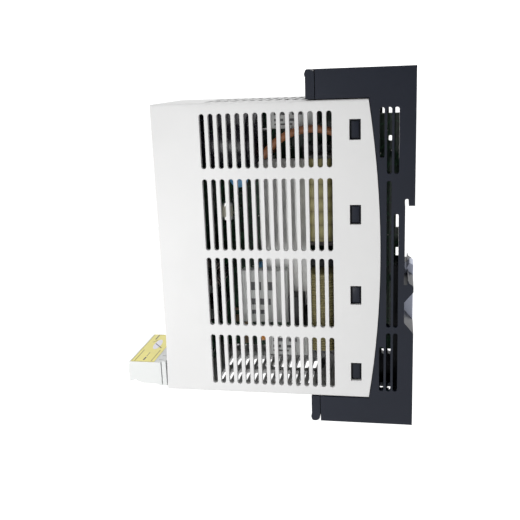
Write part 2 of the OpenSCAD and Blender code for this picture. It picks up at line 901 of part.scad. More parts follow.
module wound_coil(z, half) {
    coil_edge_r = 3;
    difference() {
        translate([(coil_x0 + coil_x1) / 2, coil_y, z - half])
            linear_extrude(2 * half)
                rounded_rect(coil_x1 - coil_x0, 2 * coil_half_d, coil_edge_r);
        leg_hole(z - half, z + half);
    }
}

module transformer_core() {
    color("#55565a")
        leg_core(transformer_z, transformer_half);
}

module transformer_bobbin() {
    color("#2d2a26")
        for (z = [transformer_z - transformer_half + fit, transformer_z + transformer_half - fit - flange_t])
            difference() {
                box([coil_x0 - 1, coil_y - coil_half_d, z], [coil_x1 + 0.7, coil_y + coil_half_d, z + flange_t]);
                leg_hole(z, z + flange_t);
            }
}

module transformer_winding() {
    color(tape_olive)
        wound_coil(transformer_z, transformer_half - flange_t - 2 * fit);
}

module boost_choke_core() {
    color("#4c4d50")
        leg_core(choke_z, choke_half);
}

module boost_choke_winding() {
    color("#8a7f4a")
        wound_coil(choke_z, choke_half - 2 * fit);
}

// The lead over the transformer: an arc across its face, with an end that turns in to the board at each foot
module transformer_lead() {
    lead_r = 1.6;
    lead_x = 16.2;
    lead_y = -37.5;
    lead_z = 20.7;
    arc = 24.7;
    foot_angle = 35.5;
    color("#8a4a22")
        union() {
            translate([lead_x, lead_y, lead_z])
                rotate([90, 0, 90])
                    rotate(foot_angle)
                        rotate_extrude(angle = 180 - 2 * foot_angle)
                            translate([arc, 0])
                                circle(r = lead_r);
            for (s = [-1, 1]) {
                foot_y = lead_y + s * arc * cos(foot_angle);
                foot_z = lead_z + arc * sin(foot_angle);
                rod_x(lead_r, board_face, lead_x, foot_y, foot_z);
                translate([lead_x, foot_y, foot_z])
                    sphere(r = lead_r + fit);
            }
        }
}

module toroid(r_in, r_out, half) {
    translate(toroid_centre)
        rotate([0, 90, 0])
            rotate_extrude()
                translate([r_in, -half])
                    square([r_out - r_in, 2 * half]);
}

module toroid_core() {
    color("#6a6a5a")
        toroid(toroid_in, toroid_out, toroid_half);
}

module toroid_winding() {
    wire = 1;
    color(copper)
        difference() {
            toroid(toroid_in - wire, toroid_out + wire, toroid_half + wire);
            toroid(toroid_in - fit, toroid_out + fit, toroid_half + fit);
        }
}

module heat_sink() {
    foot_t = 1.7;
    fin_t = 1.2;
    fin_pitch = 3.75;
    fin_tip = 16.5;
    fin_z0 = -5.4;
    color("#a7a9ab")
        union() {
            box([sink_x0, sink_y0, sink_z0], [sink_x1, sink_y1, sink_z1]);
            box([board_face, sink_y0, fin_z0 - cut], [sink_x0 + cut / 2, sink_y0 + foot_t, sink_z1 - 1.4]);
            for (y = [sink_y0:fin_pitch:sink_y1 - fin_t + fit])
                box([sink_x1 - cut / 2, y, fin_z0], [fin_tip, y + fin_t, sink_z1]);
        }
}

module power_transistors() {
    half_l = 7;
    color("#232326")
        for (z = [-26, -10, 18])
            box([sink_x0 - 4.8, -53, z - half_l], [sink_x0 - fit, -44.6, z + half_l]);
}

module bridge_rectifier() {
    color("#1d1d20")
        box([sink_x1 + 0.6, -49, -41], [sink_x1 + 8.4, -42.6, -25.5]);
}

module bulk_capacitor() {
    can_r = 13;
    can_l = 26.8;
    color("#15161c")
        rod_y(can_r, main_board_y0 + 1, main_board_y0 + 1 + can_l, 3, 39.6);
}

module output_capacitors() {
    can_r = 3.2;
    can_y = main_board_y0 + 1.8;
    can_pitch = 12;
    color("#4b4d55")
        for (i = [0:2])
            rod_x(can_r, board_face, 8.6, can_y, -37.5 + i * can_pitch);
}

// Three film capacitors: above the transformer, beside the heat sink and below it
module filter_capacitors() {
    color("#8e9092")
        union() {
            box([board_face + 2, -55.3, 45.5], [13.6, -36.6, 54.4]);
            box([sink_x1 + 0.6, -69.9, -38.5], [15, -49.4, -14.9]);
            box([core_x1 + 0.4, -58.4, -53.4], [15.4, -41.2, -43.4]);
        }
}

// Two disc capacitors, placed by their middles
module suppressor_capacitors() {
    disc_r = 4.1;
    disc_t = 3.2;
    color("#3f7fb0")
        for (p = [[11.4, -69.5, 25.2], [-6, -64, -20]])
            rod_x(disc_r, p[0], p[0] + disc_t, p[1], p[2]);
}

module varistor() {
    disc_r = 3;
    disc_t = 3.2;
    color("#c8641e")
        rod_x(disc_r, 9, 9 + disc_t, -62.3, -45.6);
}

module fuse() {
    tube_r = 2.6;
    tube_z = 6.8;
    tube_l = 8;
    color("#cfc7ac")
        rod_z(tube_r, tube_z, tube_z + tube_l, 11.2, -75.6);
}

rear_housing();
front_cover();
status_lens();
rating_label();
adjust_pot();
adjust_knob();
top_terminal_cover();
bottom_terminal_cover();
rail_clip();
clip_spring();
output_block();
output_bars();
output_screw(1);  // output_screw_1
output_screw(2);  // output_screw_2
output_screw(3);  // output_screw_3
output_screw(4);  // output_screw_4
output_clamp(1);  // output_clamp_1
output_clamp(2);  // output_clamp_2
output_clamp(3);  // output_clamp_3
output_clamp(4);  // output_clamp_4
input_block();
input_bars();
input_screw(1);  // input_screw_1
input_screw(2);  // input_screw_2
input_screw(3);  // input_screw_3
input_clamp(1);  // input_clamp_1
input_clamp(2);  // input_clamp_2
input_clamp(3);  // input_clamp_3
plug_header();
header_pins();
plug_housing();
plug_label();
plug_sockets();
plug_screw(1);  // plug_screw_1
plug_screw(2);  // plug_screw_2
plug_screw(3);  // plug_screw_3
plug_clamp(1);  // plug_clamp_1
plug_clamp(2);  // plug_clamp_2
plug_clamp(3);  // plug_clamp_3
main_board();
front_board();
board_screws();
status_leds();
transformer_core();
transformer_bobbin();
transformer_winding();
transformer_lead();
boost_choke_core();
boost_choke_winding();
toroid_core();
toroid_winding();
heat_sink();
power_transistors();
bridge_rectifier();
bulk_capacitor();
output_capacitors();
filter_capacitors();
suppressor_capacitors();
varistor();
fuse();
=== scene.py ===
"""The looks of a DIN rail power supply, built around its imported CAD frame.

Lengths are worked in millimetres in the frame's own axes and turned into metres when a mesh is made.
"""

import json
import math
import random

import bmesh
import bpy
from mathutils import Matrix, Vector


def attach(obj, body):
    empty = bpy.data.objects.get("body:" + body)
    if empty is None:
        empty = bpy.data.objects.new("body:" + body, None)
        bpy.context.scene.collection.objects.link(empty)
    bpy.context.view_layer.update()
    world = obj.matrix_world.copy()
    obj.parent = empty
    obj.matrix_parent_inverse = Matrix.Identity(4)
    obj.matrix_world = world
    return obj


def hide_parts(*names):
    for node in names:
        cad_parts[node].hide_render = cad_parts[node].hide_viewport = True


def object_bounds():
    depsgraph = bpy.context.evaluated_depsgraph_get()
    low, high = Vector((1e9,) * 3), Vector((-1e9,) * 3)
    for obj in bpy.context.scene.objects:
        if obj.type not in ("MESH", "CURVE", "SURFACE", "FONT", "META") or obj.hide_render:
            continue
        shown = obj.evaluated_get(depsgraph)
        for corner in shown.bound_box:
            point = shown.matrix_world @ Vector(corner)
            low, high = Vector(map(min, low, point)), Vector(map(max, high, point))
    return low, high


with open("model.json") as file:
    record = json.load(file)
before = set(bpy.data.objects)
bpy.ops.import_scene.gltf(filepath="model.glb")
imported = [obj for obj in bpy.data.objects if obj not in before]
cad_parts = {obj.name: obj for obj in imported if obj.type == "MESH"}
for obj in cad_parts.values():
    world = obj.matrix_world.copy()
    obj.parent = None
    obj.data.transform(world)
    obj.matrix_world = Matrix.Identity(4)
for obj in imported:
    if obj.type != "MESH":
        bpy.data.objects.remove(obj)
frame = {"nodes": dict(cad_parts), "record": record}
cad_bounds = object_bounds()
MM = 0.001
RANDOM_SEED = 7
dice = random.Random(RANDOM_SEED)
body_of_node = {n: b for b, ns in frame["record"]["behaviour"]["bodies"].items() for n in ns}

# ---- Camera and stage ----

CAMERA_AT = (318.93, -2.36, 68.23)
CAMERA_RIGHT = (-0.18120, 0.98275, -0.03670)
CAMERA_UP = (-0.24818, -0.00959, 0.96866)
CAMERA_BACK = (0.95161, 0.18463, 0.24564)
CAMERA_LENS = 51.13
SENSOR_WIDTH = 36
FLOOR_SIZE = 40.0
FLOOR_DROP = 260  # the part hangs from its rail, well above the floor
BACKDROP_GLOW = 1.4


def make_camera():
    data = bpy.data.cameras.new("camera")
    data.lens = CAMERA_LENS
    data.sensor_width = SENSOR_WIDTH
    data.clip_start = 0.01
    data.clip_end = 100
    camera = bpy.data.objects.new("camera", data)
    rows = zip(CAMERA_RIGHT, CAMERA_UP, CAMERA_BACK, [c * MM for c in CAMERA_AT])
    camera.matrix_world = Matrix([list(row) for row in rows] + [[0, 0, 0, 1]])
    bpy.context.scene.collection.objects.link(camera)
    bpy.context.scene.camera = camera


def make_light(name, at, aim, size, power, colour=(1, 1, 1)):
    """A square area light at a point, facing another one, both in millimetres."""
    data = bpy.data.lights.new(name, "AREA")
    data.size = size * MM
    data.energy = power
    data.color = colour
    light = bpy.data.objects.new(name, data)
    direction = Vector(aim) - Vector(at)
    light.location = Vector(at) * MM
    light.rotation_mode = "QUATERNION"
    light.rotation_quaternion = direction.to_track_quat("-Z", "Y")
    bpy.context.scene.collection.objects.link(light)


def make_world(strength, dark):
    """White all round, but for a grey patch far behind the camera that keeps glare off the dark plastic."""
    world = bpy.data.worlds.new("studio")
    world.use_nodes = True
    nodes, links = world.node_tree.nodes, world.node_tree.links
    place = nodes.new("ShaderNodeTexCoord")
    split = nodes.new("ShaderNodeSeparateXYZ")
    ramp = nodes.new("ShaderNodeValToRGB")
    links.new(place.outputs["Generated"], split.inputs[0])
    links.new(split.outputs["X"], ramp.inputs["Fac"])
    links.new(ramp.outputs["Color"], nodes["Background"].inputs["Color"])
    for element, (position, grey) in zip(ramp.color_ramp.elements, ((0.5, 1.0), (0.85, dark))):
        element.position = position
        element.color = (grey, grey, grey, 1)
    nodes["Background"].inputs["Strength"].default_value = strength
    bpy.context.scene.world = world


# ---- Materials ----


class Graph:
    """One material's node tree, with a short call for each kind of node."""

    def __init__(self, name):
        self.material = bpy.data.materials.new(name)
        self.material.use_nodes = True
        self.nodes = self.material.node_tree.nodes
        self.links = self.material.node_tree.links
        self.shader = self.nodes["Principled BSDF"]
        self.place = self.nodes.new("ShaderNodeTexCoord").outputs["Object"]

    def add(self, kind, settings=None, **inputs):
        node = self.nodes.new(kind)
        for key, value in (settings or {}).items():
            setattr(node, key, value)
        for key, value in inputs.items():
            self.feed(node.inputs[key.replace("_", " ")], value)
        return node

    def feed(self, socket, value):
        if isinstance(value, bpy.types.NodeSocket):
            self.links.new(value, socket)
        else:
            socket.default_value = value

    def stretched(self, scale):
        """The object's coordinates scaled by three factors."""
        return self.add("ShaderNodeMapping", Vector=self.place, Scale=scale).outputs["Vector"]

    def noise(self, scale, detail=2, where=None):
        node = self.add("ShaderNodeTexNoise", Vector=where or self.place, Scale=scale, Detail=detail)
        return node.outputs["Fac"]

    def ramp(self, factor, *stops):
        """A colour ramp; each stop is a position and an RGB colour."""
        node = self.add("ShaderNodeValToRGB", Fac=factor)
        elements = node.color_ramp.elements
        while len(elements) < len(stops):
            elements.new(0.5)
        for element, (position, colour) in zip(elements, stops):
            element.position = position
            element.color = (*colour, 1)
        return node.outputs["Color"]

    def spread(self, factor, low, high):
        """A 0 to 1 factor spread between two values."""
        return self.add("ShaderNodeMapRange", Value=factor, To_Min=low, To_Max=high).outputs["Result"]

    def math(self, operation, a, b=0.0):
        node = self.nodes.new("ShaderNodeMath")
        node.operation = operation
        self.feed(node.inputs[0], a)
        self.feed(node.inputs[1], b)
        return node.outputs["Value"]

    def mix(self, factor, a, b):
        node = self.nodes.new("ShaderNodeMix")
        node.data_type = "RGBA"
        for socket, value in ((node.inputs[0], factor), (node.inputs[6], a), (node.inputs[7], b)):
            self.feed(socket, value)
        return node.outputs[2]

    def axis(self, letter):
        return self.add("ShaderNodeSeparateXYZ", Vector=self.place).outputs[letter]

    def bands(self, letter, pitch):
        """0 to 1 sawtooth along an axis, repeating each pitch millimetres."""
        return self.math("FRACT", self.math("MULTIPLY", self.axis(letter), 1 / (pitch * MM)))

    def finish(self, colour, roughness, bump=None, depth=0.02, **fixed):
        self.feed(self.shader.inputs["Base Color"], colour)
        self.feed(self.shader.inputs["Roughness"], roughness)
        if bump is not None:
            node = self.add("ShaderNodeBump", Height=bump, Distance=depth * MM, Strength=1.0)
            self.links.new(node.outputs["Normal"], self.shader.inputs["Normal"])
        for key, value in fixed.items():
            self.shader.inputs[key.replace("_", " ")].default_value = value
        return self.material


def toned(colour, factor):
    return tuple(min(c * factor, 1) for c in colour)


def moulded(name, colour, roughness=0.45, grain=0.35, depth=0.012, variation=0.05, **fixed):
    """Moulded plastic: faint clouds of tone, a fine spark-eroded grain, and roughness that follows it."""
    g = Graph(name)
    clouds = g.noise(70, 3)
    fine = g.noise(1 / (grain * MM), 3)
    colour = g.ramp(clouds, (0.3, toned(colour, 1 - variation)), (0.7, toned(colour, 1 + variation)))
    return g.finish(colour, g.spread(fine, roughness - 0.07, roughness + 0.07), fine, depth, **fixed)


def metal(name, colour, roughness=0.32, brushed=None, depth=0.006, metallic=1.0):
    """Bare metal with faint stains and a drawn or brushed grain, stretched along the given axis."""
    g = Graph(name)
    scale = [1, 1, 1]
    if brushed is not None:
        scale["XYZ".index(brushed)] = 0.04
    streaks = g.noise(3200, 4, g.stretched(scale))
    stains = g.noise(220, 3)
    colour = g.ramp(stains, (0.3, toned(colour, 0.86)), (0.7, toned(colour, 1.06)))
    return g.finish(colour, g.spread(streaks, roughness - 0.1, roughness + 0.14), streaks, depth,
                    Metallic=metallic)


def wound(name, dark, light, letter, pitch, roughness=0.4, metallic=0.0, depth=0.12):
    """Tape or wire laid in turns: painted shade darkens the seam between turns, and each turn has its own
    slight change of tone.
    """
    g = Graph(name)
    turn = g.bands(letter, pitch)
    seam = g.math("PINGPONG", turn, 0.5)
    crown = g.math("POWER", g.math("MULTIPLY", seam, 2.0), 0.35)
    stain = g.noise(260, 3)
    body = g.ramp(stain, (0.3, dark), (0.7, light))
    # painted shade: towards each seam the colour falls to 0.45 of the dark tone
    colour = g.mix(crown, (*toned(dark, 0.45), 1), body)
    return g.finish(colour, g.spread(stain, roughness - 0.08, roughness + 0.1), crown, depth,
                    Metallic=metallic)


def circuit_board(name):
    """Green solder mask over copper tracks, with pale pads."""
    g = Graph(name)
    cells = g.add("ShaderNodeTexVoronoi", {"feature": "DISTANCE_TO_EDGE", "distance": "MANHATTAN"},
                  Vector=g.place, Scale=190.0).outputs["Distance"]
    track = g.math("LESS_THAN", cells, 0.06)
    clouds = g.noise(90, 3)
    mask = g.ramp(clouds, (0.3, (0.004, 0.026, 0.011)), (0.7, (0.007, 0.042, 0.018)))
    cells = g.add("ShaderNodeTexVoronoi", {}, Vector=g.place, Scale=260.0)
    pads = g.math("LESS_THAN", cells.outputs["Distance"], 0.1)
    colour = g.mix(track, mask, (0.012, 0.075, 0.03, 1))
    colour = g.mix(pads, colour, (0.55, 0.56, 0.52, 1))
    return g.finish(colour, g.spread(clouds, 0.28, 0.42), track, 0.03, Coat_Weight=0.3)


def paper(name, colour):
    """Printed label film: an even ground with a faint fibre and a satin face."""
    g = Graph(name)
    fibre = g.noise(2600, 4)
    clouds = g.noise(140, 2)
    ground = g.ramp(clouds, (0.3, toned(colour, 0.96)), (0.7, toned(colour, 1.03)))
    return g.finish(ground, g.spread(fibre, 0.3, 0.42), fibre, 0.004, Coat_Weight=0.15)


def clear_plastic(name, colour):
    g = Graph(name)
    fine = g.noise(900, 2)
    tint = g.ramp(fine, (0.3, toned(colour, 0.97)), (0.7, colour))
    return g.finish(tint, g.spread(fine, 0.08, 0.16), fine, 0.003, Transmission_Weight=0.85, IOR=1.49)


materials = {
    "cover": moulded("cover_plastic", (0.455, 0.455, 0.454), roughness=0.55, depth=0.02, variation=0.012),
    "navy": moulded("navy_plastic", (0.0045, 0.0065, 0.013), roughness=0.42, depth=0.02, variation=0.08,
                   Specular_IOR_Level=0.24),
    "clip": moulded("clip_plastic", (0.40, 0.43, 0.53), roughness=0.45),
    "plug": moulded("plug_plastic", (0.43, 0.44, 0.435), roughness=0.5, variation=0.012),
    "block": moulded("terminal_plastic", (0.045, 0.05, 0.06), roughness=0.4),
    "black": moulded("black_epoxy", (0.012, 0.012, 0.014), roughness=0.42, depth=0.01),
    "ferrite": moulded("ferrite", (0.05, 0.05, 0.053), roughness=0.6, grain=0.5, depth=0.03,
                       variation=0.15),
    "bobbin": moulded("bobbin_plastic", (0.05, 0.045, 0.04), roughness=0.5),
    "sleeve": moulded("capacitor_sleeve", (0.010, 0.009, 0.016), roughness=0.28, grain=0.8, depth=0.006),
    "grey_sleeve": moulded("small_capacitor_sleeve", (0.03, 0.03, 0.036), roughness=0.3, grain=0.8,
                           depth=0.006),
    "film": moulded("film_capacitor_case", (0.62, 0.63, 0.62), roughness=0.45, variation=0.04),
    "blue": moulded("blue_coating", (0.10, 0.30, 0.52), roughness=0.32, grain=0.9, depth=0.03),
    "orange": moulded("orange_coating", (0.62, 0.25, 0.05), roughness=0.35, grain=0.9, depth=0.03),
    "lead": moulded("lead_insulation", (0.30, 0.12, 0.05), roughness=0.38, grain=0.7, depth=0.02,
                    variation=0.15),
    "fuse": moulded("fuse_ceramic", (0.50, 0.48, 0.40), roughness=0.4, grain=0.5),
    "knob": moulded("knob_plastic", (0.78, 0.75, 0.66), roughness=0.4),
    "pot": moulded("potentiometer_case", (0.05, 0.16, 0.42), roughness=0.35),
    "ink": moulded("printing_ink", (0.02, 0.02, 0.022), roughness=0.4, depth=0.003),
    "line": moulded("label_line_ink", (0.17, 0.14, 0.02), roughness=0.4, depth=0.003),
    "white": moulded("label_white", (0.50, 0.49, 0.55), roughness=0.4, depth=0.003, variation=0.01),
    "yellow": paper("yellow_label", (0.52, 0.46, 0.085)),
    "silver": paper("silver_label", (0.46, 0.475, 0.48)),
    "steel": metal("zinc_plated_steel", (0.62, 0.63, 0.66), 0.34),
    "tin": metal("tinned_copper", (0.70, 0.70, 0.69), 0.3),
    "spring": metal("spring_steel", (0.52, 0.53, 0.55), 0.28),
    "copper": metal("bare_copper", (0.80, 0.42, 0.24), 0.3),
    "aluminium": metal("extruded_aluminium", (0.80, 0.80, 0.79), 0.48, brushed="Z", metallic=0.35),
    "can": metal("can_aluminium", (0.80, 0.81, 0.83), 0.3),
    "tape": wound("olive_tape", (0.33, 0.29, 0.12), (0.46, 0.41, 0.19), "Z", 5.7),
    "choke_tape": wound("choke_tape", (0.30, 0.26, 0.11), (0.42, 0.37, 0.17), "Z", 1.15),
    "enamel": metal("enamelled_copper", (0.16, 0.13, 0.12), 0.34),
    # dark print on the film capacitors, also used as painted shadow in the plug's seam gaps
    "mark": moulded("capacitor_print_and_seam_shade", (0.09, 0.09, 0.095), roughness=0.4, depth=0.003),
    "solder": metal("solder", (0.62, 0.63, 0.64), 0.26),
    "chip": moulded("chip_resistor", (0.02, 0.02, 0.022), roughness=0.35),
    "ceramic": moulded("ceramic_chip", (0.28, 0.2, 0.12), roughness=0.4),
    "board": circuit_board("circuit_board"),
    "lens": clear_plastic("clear_lens", (0.86, 0.94, 0.91)),
    "led": clear_plastic("lamp_epoxy", (0.35, 0.85, 0.42)),
}

# ---- Mesh helpers ----


def piece(name, bm, material, body, stands_for=(), smooth_angle=38, scale=MM):
    """Turns a bmesh in millimetres into a piece of the object that rides on a body."""
    bmesh.ops.transform(bm, matrix=Matrix.Scale(scale, 4), verts=bm.verts)
    bmesh.ops.recalc_face_normals(bm, faces=bm.faces)
    mesh = bpy.data.meshes.new(name)
    bm.to_mesh(mesh)
    bm.free()
    for polygon in mesh.polygons:
        polygon.use_smooth = True
    mesh.set_sharp_from_angle(angle=math.radians(smooth_angle))
    mesh.materials.append(materials[material])
    thing = bpy.data.objects.new(name, mesh)
    bpy.context.scene.collection.objects.link(thing)
    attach(thing, body)
    if stands_for:
        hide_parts(*stands_for)
    return thing


def node_mesh(node):
    """A CAD node's mesh as a welded bmesh in millimetres, with degenerate edges dissolved."""
    bm = bmesh.new()
    bm.from_mesh(frame["nodes"][node].data)
    bmesh.ops.transform(bm, matrix=Matrix.Scale(1 / MM, 4), verts=bm.verts)
    bmesh.ops.remove_doubles(bm, verts=bm.verts, dist=0.002)
    bmesh.ops.dissolve_degenerate(bm, edges=bm.edges, dist=0.001)
    return bm


def solids(node):
    """The box of each separate solid of a CAD node: its (low, high) corners in millimetres, lowest first."""
    bm = node_mesh(node)
    left = set(bm.verts)
    boxes = []
    while left:
        stack = [left.pop()]
        found = []
        while stack:
            vert = stack.pop()
            found.append(vert.co.copy())
            for edge in vert.link_edges:
                other = edge.other_vert(vert)
                if other in left:
                    left.remove(other)
                    stack.append(other)
        boxes.append((Vector(map(min, *found)), Vector(map(max, *found))))
    bm.free()
    return sorted(boxes, key=lambda b: (b[0] + b[1]).z)


def bevelled(node, material, width, segments=2, angle=28):
    """A detailed copy of a CAD node: its own shape with every sharp edge rounded by a bevel."""
    bm = node_mesh(node)
    bmesh.ops.dissolve_limit(bm, angle_limit=math.radians(1), verts=bm.verts, edges=bm.edges)
    thing = piece(node + "_shell", bm, material, body_of_node[node], [node])
    bevel = thing.modifiers.new("bevel", "BEVEL")
    bevel.width = width * MM
    bevel.segments = segments
    bevel.limit_method = "ANGLE"
    bevel.angle_limit = math.radians(angle)
    bevel.harden_normals = True
    bevel.use_clamp_overlap = True
    return thing


def box_piece(name, low, high, material, body, bevel=0.3, stands_for=(), segments=2):
    """A block with rounded edges between two corners."""
    bm = bmesh.new()
    add_box(bm, low, high, bevel, segments)
    return piece(name, bm, material, body, stands_for)


def add_box(bm, low, high, bevel=0.3, segments=2):
    size = Vector(high) - Vector(low)
    middle = (Vector(high) + Vector(low)) / 2
    made = bmesh.ops.create_cube(bm, size=1, matrix=Matrix.Translation(middle) @ Matrix.Diagonal((*size, 1)))
    if bevel:
        edges = list({e for v in made["verts"] for e in v.link_edges})
        bmesh.ops.bevel(bm, geom=edges, offset=min(bevel, min(size) * 0.45), segments=segments, profile=0.5,
                        affect="EDGES")


AXIS_TURN = {
    "X": Matrix(((0, 0, 1, 0), (0, 1, 0, 0), (-1, 0, 0, 0), (0, 0, 0, 1))),
    "Y": Matrix(((1, 0, 0, 0), (0, 0, 1, 0), (0, -1, 0, 0), (0, 0, 0, 1))),
    "Z": Matrix.Identity(4),
}


def add_lathe(bm, profile, at, axis, sides=40):
    """Turns a closed profile of (radius, distance along the axis) points; a zero radius closes an end."""
    turn = Matrix.Translation(at) @ AXIS_TURN[axis]
    rings = []
    for radius, along in profile:
        if radius == 0:
            rings.append([bm.verts.new(turn @ Vector((0, 0, along)))])
            continue
        angles = [2 * math.pi * i / sides for i in range(sides)]
        rings.append([bm.verts.new(turn @ Vector((radius * math.cos(a), radius * math.sin(a), along)))
                      for a in angles])
    for one, two in zip(rings, rings[1:]):
        for i in range(sides):
            j = (i + 1) % sides
            if len(one) == 1:
                bm.faces.new((one[0], two[i], two[j]))
            elif len(two) == 1:
                bm.faces.new((one[i], one[j], two[0]))
            else:
                bm.faces.new((one[i], one[j], two[j], two[i]))


def add_tube(bm, path, radius, sides=10):
    """A round wire along a path of points, with flat ends."""
    points = [Vector(p) for p in path]
    side = None
    rings = []
    for i, point in enumerate(points):
        along = (points[min(i + 1, len(points) - 1)] - points[max(i - 1, 0)]).normalized()
        if side is None:
            side = along.orthogonal().normalized()
        side = (side - along * side.dot(along)).normalized()
        other = along.cross(side)
        angles = [2 * math.pi * k / sides for k in range(sides)]
        rings.append([bm.verts.new(point + radius * (math.cos(a) * side + math.sin(a) * other))
                      for a in angles])
    for one, two in zip(rings, rings[1:]):
        for k in range(sides):
            n = (k + 1) % sides
            bm.faces.new((one[k], one[n], two[n], two[k]))
    bm.faces.new(rings[0])
    bm.faces.new(rings[-1])


def add_prism(bm, outline, level, height, axis="Z"):
    """A thin flat-topped shape: an outline of (u, v) points on a plane across Z or Y, at a level."""
    def spot(u, v, w):
        return (u, v, w) if axis == "Z" else (u, w, v)
    ends = [[bm.verts.new(spot(u, v, level + h)) for u, v in outline] for h in (0, height)]
    for ring in ends:
        bm.faces.new(ring)
    for i in range(len(outline)):
        j = (i + 1) % len(outline)
        bm.faces.new((ends[0][i], ends[0][j], ends[1][j], ends[1][i]))


def stroke(a, b, width):
    """The outline of a straight line of a given width."""
    a, b = Vector(a), Vector(b)
    side = (b - a).normalized().orthogonal() * width / 2
    return [tuple(a + side), tuple(b + side), tuple(b - side), tuple(a - side)]


def oval(centre, half_long, half_short, turn=0.0, count=32):
    u, v = math.cos(turn), math.sin(turn)
    points = []
    for i in range(count):
        a, b = half_long * math.cos(2 * math.pi * i / count), half_short * math.sin(2 * math.pi * i / count)
        points.append((centre[0] + a * u - b * v, centre[1] + a * v + b * u))
    return points


def rounded_outline(half_u, half_v, radius, steps=6):
    """The outline of a rectangle with round corners, about the origin."""
    points = []
    for k, (su, sv) in enumerate(((1, 1), (-1, 1), (-1, -1), (1, -1))):
        for i in range(steps + 1):
            a = math.pi / 2 * (k + i / steps)
            points.append((su * (half_u - radius) + radius * math.cos(a),
                           sv * (half_v - radius) + radius * math.sin(a)))
    return points


def dress(material, *nodes):
    """Gives CAD nodes a procedural material."""
    for node in nodes:
        mesh = frame["nodes"][node].data
        mesh.materials.clear()
        mesh.materials.append(materials[material])


make_camera()
make_world(BACKDROP_GLOW, 0.12)
make_light("key", (300, -420, 700), (0, -50, 0), 600, 1.2)
make_light("low_fill", (260, -230, -40), (24, -45, -70), 180, 0.8)
bpy.context.scene.view_settings.view_transform = "Standard"

low, high = cad_bounds
floor_mesh = bpy.data.meshes.new("floor")
half = FLOOR_SIZE / 2
corners = [(-half, -half, 0), (half, -half, 0), (half, half, 0), (-half, half, 0)]
floor_mesh.from_pydata(corners, [], [(0, 1, 2, 3)])
floor = bpy.data.objects.new("floor", floor_mesh)
floor.location.z = low.z - FLOOR_DROP * MM
bpy.context.scene.collection.objects.link(floor)
floor_mesh.materials.append(moulded("floor_paint", (0.92, 0.92, 0.92), roughness=0.8, grain=4,
                                    variation=0.01))

# ---- Moulded and cut pieces: rounded copies of their CAD nodes ----

for node, material, width in (
    ("front_cover", "cover", 0.14), ("rear_housing", "navy", 0.25), ("rail_clip", "clip", 0.3),
    ("top_terminal_cover", "navy", 0.3), ("bottom_terminal_cover", "navy", 0.3),
    ("plug_housing", "plug", 0.3), ("plug_header", "plug", 0.25),
    ("heat_sink", "aluminium", 0.25), ("transformer_core", "ferrite", 0.4),
    ("boost_choke_core", "ferrite", 0.4), ("transformer_bobbin", "bobbin", 0.3),
    ("status_lens", "lens", 0.25), ("adjust_pot", "pot", 0.25),
    ("adjust_knob", "knob", 0.15), ("output_block", "block", 0.25),
    ("input_block", "block", 0.25), ("main_board", "board", 0.12), ("front_board", "board", 0.12),
    ("board_screws", "steel", 0.2), ("output_bars", "tin", 0.12), ("input_bars", "tin", 0.12),
    ("header_pins", "tin", 0.2), ("plug_sockets", "copper", 0.15), ("plug_label", "yellow", 0.03),
):
    bevelled(node, material, width)
for kind, count in (("output", 4), ("input", 3), ("plug", 3)):
    for i in range(1, count + 1):
        bevelled(f"{kind}_screw_{i}", "steel", 0.2)
        bevelled(f"{kind}_clamp_{i}", "steel", 0.15)
for material, nodes in {"spring": ["clip_spring"], "silver": ["rating_label"], "lead": ["transformer_lead"],
                        "ferrite": ["toroid_core"]}.items():
    dress(material, *nodes)

# ---- Round parts ----

BOARD_FACE = solids("main_board")[0][1].x
WIRE_SINK = 0.6


def middle(box):
    return (box[0] + box[1]) / 2


def leads(name, spots, radius=0.4, material="tin"):
    """Straight wires along X from each spot back into the main board."""
    bm = bmesh.new()
    for spot in spots:
        add_tube(bm, [spot, (BOARD_FACE - WIRE_SINK, spot[1], spot[2])], radius)
    piece(name, bm, material, "housing")


def electrolytic(name, box, axis, seal_low, sleeve, node):
    """A sleeved can: a crimped bead near the sealed end, and a rolled lip round an aluminium top."""
    letter = "XYZ".index(axis)
    length = box[1][letter] - box[0][letter]
    across = (letter + 1) % 3
    r = (box[1][across] - box[0][across]) / 2
    lip = 0.06 * r
    bead = length * 0.14
    profile = [(0, 0), (r - 3 * lip, 0), (r - lip, lip * 0.4), (r, lip * 1.4), (r, bead - 2 * lip),
               (r - 1.6 * lip, bead - lip),
               (r - 1.6 * lip, bead + lip), (r, bead + 2 * lip), (r, length - 2 * lip),
               (r - lip * 0.5, length - lip * 0.6),
               (r - 2 * lip, length), (r - 3 * lip, length - lip * 0.3),
               (r - 3.2 * lip, length - lip * 1.3),
               (0, length - lip * 1.3)]
    if not seal_low:
        profile = [(radius, length - along) for radius, along in reversed(profile)]
    at = middle(box)
    at[letter] = box[0][letter]
    body = bmesh.new()
    add_lathe(body, profile, at, axis, 64)
    piece(name, body, sleeve, "housing", [node] if node else ())
    top = bmesh.new()
    level = length - lip * 1.3 if seal_low else lip * 1.3
    step = lip * 0.5 if seal_low else -lip * 0.5
    inner = r - 3.4 * lip
    disc = [(0, level - step), (inner, level - step), (inner, level + step * 0.6),
            (inner * 0.8, level + step), (0, level + step)]
    add_lathe(top, disc, at, axis, 48)
    piece(name + "_top", top, "can", "housing")


